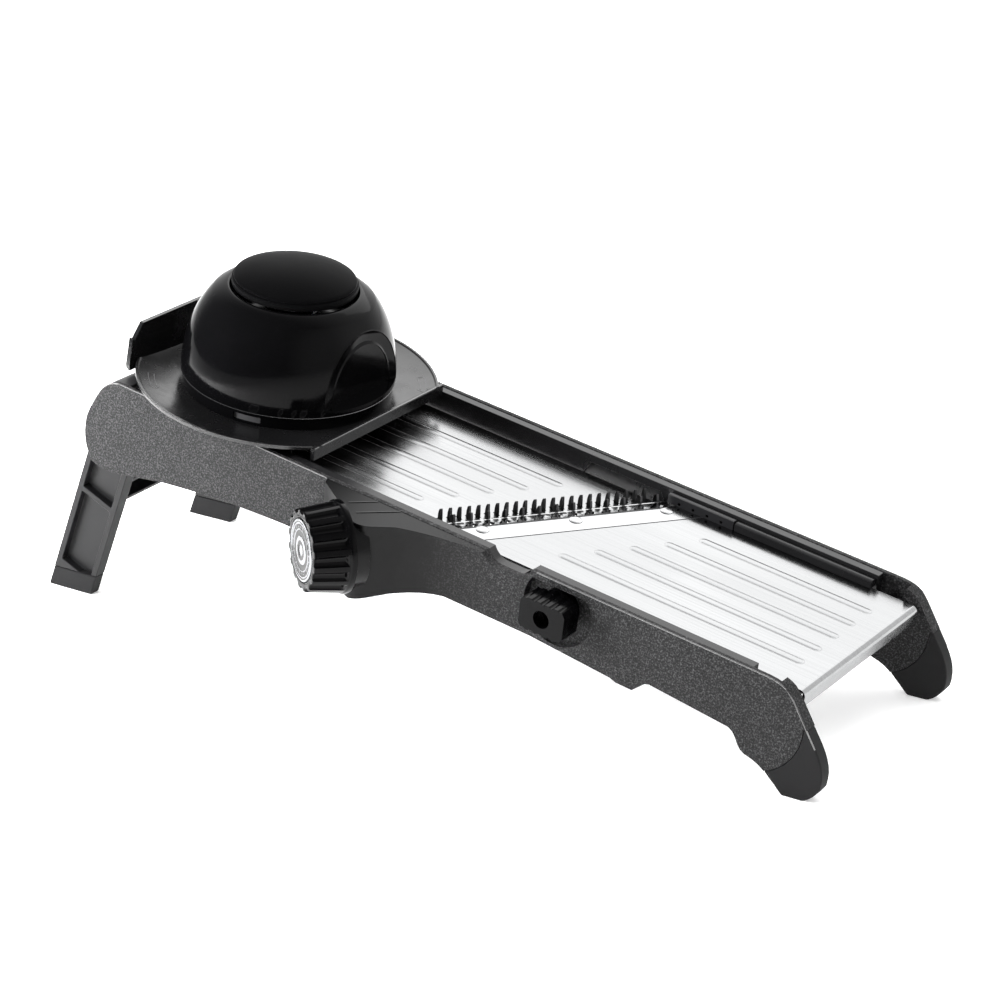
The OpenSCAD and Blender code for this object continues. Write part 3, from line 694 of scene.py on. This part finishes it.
# plain tick marks round the badge and on the dial's skirt
ticks = []
for i in range(24):
    a = 2 * math.pi * i / 24
    er, et = Vector((math.cos(a), math.sin(a), 0)), Vector((-math.sin(a), math.cos(a), 0))
    ln = 1.3 if i % 3 == 0 else 0.8
    ticks.append((er * 9.7 - et * 0.2 + Vector((0, 0, 18.6)), er * ln, et * 0.4, Vector((0, 0, 0.12))))
block("dial_badge_ticks", ticks, "dial", "badge", DIAL)
ticks = []
for i in range(32):
    a = 2 * math.pi * i / 32
    er, et = Vector((math.cos(a), math.sin(a), 0)), Vector((-math.sin(a), math.cos(a), 0))
    ticks.append((er * 19.9 - et * 0.16 + Vector((0, 0, 1.0)), er * 0.26, et * 0.32, Vector((0, 0, 1.2 if i % 4 == 0 else 0.7))))
block("dial_skirt_ticks", ticks, "dial", "mark", DIAL)


# ---------------------------------------------------------------- marks on the brim
def brim_top(r):
    return 2.1 + (r - 56.2) * (4.4 - 2.1) / (67.0 - 56.2)


def arc_arrow(name, mid, half, r, turn):
    vs, fs = [], []

    def quad_strip(pts):
        b = len(vs)
        for (r0, a0), (r1, a1) in pts:
            for rr, aa in ((r0, a0), (r1, a1)):
                for up_ in (-0.02, 0.10):
                    vs.append((rr * math.cos(aa), rr * math.sin(aa), brim_top(rr) + up_))
        m = len(pts)
        for i in range(m - 1):
            o = b + i * 4
            fs.extend([(o + 1, o + 3, o + 7, o + 5), (o, o + 4, o + 6, o + 2), (o, o + 1, o + 5, o + 4), (o + 2, o + 6, o + 7, o + 3)])
        fs.append((b, b + 2, b + 3, b + 1))
        e_ = b + (m - 1) * 4
        fs.append((e_, e_ + 1, e_ + 3, e_ + 2))

    a0, a1 = mid - half, mid + half
    for side in (-1, 1):
        quad_strip([((r + side * 1.35 - 0.16, lerp(a0, a1, t / 12)), (r + side * 1.35 + 0.16, lerp(a0, a1, t / 12))) for t in range(13)])
    tip = a1 if turn > 0 else a0
    s_ = 1 if turn > 0 else -1
    quad_strip([((r - 2.6, tip), (r - 2.2, tip)), ((r - 0.2, tip + s_ * 0.048), (r + 0.2, tip + s_ * 0.048)), ((r + 2.2, tip), (r + 2.6, tip))])
    tail = a0 if turn > 0 else a1
    quad_strip([((r - 1.5, tail), (r - 1.2, tail)), ((r - 0.1, tail + s_ * 0.012), (r + 0.1, tail + s_ * 0.012)), ((r + 1.2, tail), (r + 1.5, tail))])
    make(name, vs, fs, "carriage", "mark", HOLD)


arc_arrow("brim_arrow_near", rad(BRIM_A[0]), 0.10, 61.6, 1)
arc_arrow("brim_arrow_far", rad(BRIM_A[1]), 0.10, 61.6, -1)


# ---------------------------------------------------------------- painted shadow lines round the runway ribs
def stadium(name, ribs, z, hw, line, body, wide=()):
    vs, fs = [], []
    for i, (x0, x1, y) in enumerate(ribs):
        prof = []
        for w_ in (hw, hw + line):
            ring = []
            for k in range(25):
                a = rad(90 + 180 * k / 24)
                ring.append((x0 + w_ * math.cos(a), y + w_ * math.sin(a)))
            for k in range(25):
                a = rad(-90 + 180 * k / 24)
                ring.append((x1 + w_ * math.cos(a), y + w_ * math.sin(a)))
            prof.append(ring)
        m = len(prof[0])
        b = len(vs)
        for k in range(m):
            for q in (0, 1):
                vs.append((*prof[q][k], z - 0.05))
                vs.append((*prof[q][k], z + 0.03))
        for k in range(m):
            o, p = b + 4 * k, b + 4 * ((k + 1) % m)
            fs += [(o + 1, o + 3, p + 3, p + 1), (o, p, p + 2, o + 2), (o + 3, o + 2, p + 2, p + 3), (o + 1, p + 1, p, o)]
    make(name, vs, fs, body, "line", DECK)


PITCH = 13.8
TB = math.tan(rad(BLADE))
stadium("lower_rib_lines", [(-138.2 + 23 + i * PITCH * TB, -17.5, i * PITCH) for i in range(-2, 3)], RTOP, 2.16, 0.10, "frame")
stadium("upper_rib_lines", [(-342, -138.2 - 53.5 + i * PITCH * TB, i * PITCH) for i in range(-2, 3)], UTOP, 2.16, 0.10, "ramp")

# the narrow joint between the blade strip and the lower runway
vs_, fs_ = [], []
for k in range(41):
    v_ = -45.9 + 91.8 * k / 40
    for p_ in (-0.25, 0.42):
        for z_ in (RTOP - 0.06, RTOP + 0.025):
            q_ = (p_ * math.sin(rad(BLADE)) - v_) / math.cos(rad(BLADE))
            vs_.append((p_, q_, z_))
for k in range(40):
    o_ = 4 * k
    for q in ((1, 3, 7, 5), (0, 4, 6, 2), (0, 1, 5, 4), (2, 6, 7, 3)):
        fs_.append(tuple(o_ + c for c in q))
fs_ += [(0, 2, 3, 1), (160, 161, 163, 162)]
make("blade_joint_line", vs_, fs_, "frame", "joint", BLADEF)

# dark leaf shapes laid on the ramp's tongues: painted shade standing in for openings
vs_, fs_ = [], []
for i in range(14):
    y0 = 7.6 + (i - 6.5) * 7.95
    if i in (0, 13):
        continue
    b_ = len(vs_)
    out = []
    for k in range(24):
        t = 2 * math.pi * k / 24
        lx = 1.9 * math.cos(t)
        ly = 0.95 * math.sin(t) * (1 - 0.45 * math.cos(t)) * (abs(math.sin(t)) ** 0.35)
        ca, sa = math.cos(rad(38)), math.sin(rad(38))
        out.append((21.0 + lx * ca - ly * sa, y0 + lx * sa + ly * ca))
    for x_, y_ in out:
        vs_ += [(x_, y_, UTOP - 0.04), (x_, y_, UTOP + 0.03)]
    fs_.append(tuple(b_ + 2 * k + 1 for k in range(24)))
    fs_.append(tuple(b_ + 2 * k for k in reversed(range(24))))
    for k in range(24):
        q = (k + 1) % 24
        fs_.append((b_ + 2 * k, b_ + 2 * q, b_ + 2 * q + 1, b_ + 2 * k + 1))
make("painted_tongue_opening_shade", vs_, fs_, "ramp", "ink_and_painted_shade", BLADEF)


# ---------------------------------------------------------------- seams on the dial shroud
def seam(name, pts, z, w, body="frame", key="ink_and_painted_shade"):
    boxes = []
    for (x0, y0), (x1, y1) in zip(pts, pts[1:]):
        d = Vector((x1 - x0, y1 - y0, 0))
        n = Vector((-d.y, d.x, 0)).normalized() * w
        boxes.append((Vector((x0, y0, z - 0.1)) - n / 2, d, n, Vector((0, 0, 0.13))))
    return block(name, boxes, body, key, DECK)


seam("shroud_seam_rear", [(-218.9, -65.3), (-210.6, -55.6)], 0.0, 0.7)
seam("shroud_seam_front", [(-211.2, -69.9), (-198.6, -55.5)], 0.0, 0.7)

# ---------------------------------------------------------------- camera, lights, floor
def setup_camera():
    cam = bpy.data.cameras.new("camera")
    ob = bpy.data.objects.new("camera", cam)
    scene.collection.objects.link(ob)
    cam.sensor_width = 36.0
    cam.lens = 103.9457
    cam.clip_start, cam.clip_end = 0.05, 20
    right = Vector((0.8107101, 0.5838726, -0.0429182))
    up = Vector((-0.1912051, 0.3333509, 0.9232106))
    back = Vector((0.5533441, -0.7402500, 0.3818904))
    ob.matrix_world = Matrix(((right.x, up.x, back.x, 0.714684), (right.y, up.y, back.y, -0.916103),
                              (right.z, up.z, back.z, 0.551564), (0, 0, 0, 1)))
    scene.camera = ob


def area(name, loc, target, size, power, sy=None):
    li = bpy.data.lights.new(name, "AREA")
    li.shape = "RECTANGLE"
    li.size, li.size_y = size, sy or size
    li.energy = power
    ob = bpy.data.objects.new(name, li)
    scene.collection.objects.link(ob)
    ob.location = loc
    ob.rotation_euler = (Vector(target) - Vector(loc)).to_track_quat("-Z", "Y").to_euler()
    return ob


def setup_stage():
    me = bpy.data.meshes.new("floor")
    s = 6.0
    me.from_pydata([(-s, -s, 0), (s, -s, 0), (s, s, 0), (-s, s, 0)], [], [(0, 1, 2, 3)])
    fl = bpy.data.objects.new("floor", me)
    scene.collection.objects.link(fl)
    m = Nodes("pale_floor")
    v = m.coords((1, 1, 1), False)
    m.color(m.ramp(m.noise(v, 3.0, 2.0), [(0.3, (0.90, 0.90, 0.90)), (0.7, (0.92, 0.92, 0.92))]))
    m.set(Roughness=0.9, Specular_IOR_Level=0.1, Emission_Strength=0.32)
    m.bsdf.inputs["Emission Color"].default_value = (1, 1, 1, 1)
    me.materials.append(m.mat)
    w = bpy.data.worlds.new("studio")
    scene.world = w
    w.use_nodes = True
    nt = w.node_tree
    bg = nt.nodes["Background"]
    bg.inputs["Color"].default_value = (1, 1, 1, 1)

    def node(kind, **props):
        n = nt.nodes.new(kind)
        for k, val in props.items():
            setattr(n, k, val)
        return n

    def smooth(sock, a, b, lo, hi):
        r = node("ShaderNodeMapRange", interpolation_type="SMOOTHSTEP")
        for k, val in (("From Min", a), ("From Max", b), ("To Min", lo), ("To Max", hi)):
            r.inputs[k].default_value = val
        nt.links.new(sock, r.inputs["Value"])
        return r.outputs["Result"]

    def add(a, b):
        n = node("ShaderNodeMath", operation="ADD")
        nt.links.new(a, n.inputs[0])
        nt.links.new(b, n.inputs[1])
        return n.outputs[0]

    tc = node("ShaderNodeTexCoord")
    sep = node("ShaderNodeSeparateXYZ")
    nt.links.new(tc.outputs["Generated"], sep.inputs[0])
    # dark behind the viewer, bright overhead and at the back
    glow = smooth(sep.outputs["X"], 0.5, 0.98, 0.0, 0.8)
    total = add(add(smooth(sep.outputs["Z"], 0.0, 0.70, 0.09, 0.30), smooth(sep.outputs["Y"], -0.05, 0.70, 0.0, 1.15)), glow)
    nt.links.new(total, bg.inputs["Strength"])
    area("key_back", (-0.5, 1.6, 1.35), (0, 0, 0.05), 2.0, 10, 1.2)
    top = area("top_soft", (0.1, 0.1, 2.0), (0, 0, 0.0), 2.6, 52)
    top.visible_glossy = False
    fill = area("left_fill", (-0.60, -0.50, 0.36), (-0.18, -0.06, 0.08), 0.4, 24)
    fill.visible_glossy = False
    side = area("right_fill", (1.2, 0.1, 0.55), (0.2, 0, 0.05), 0.5, 1.4)
    side.visible_glossy = False
    scene.view_settings.view_transform = "Standard"


setup_camera()
setup_stage()
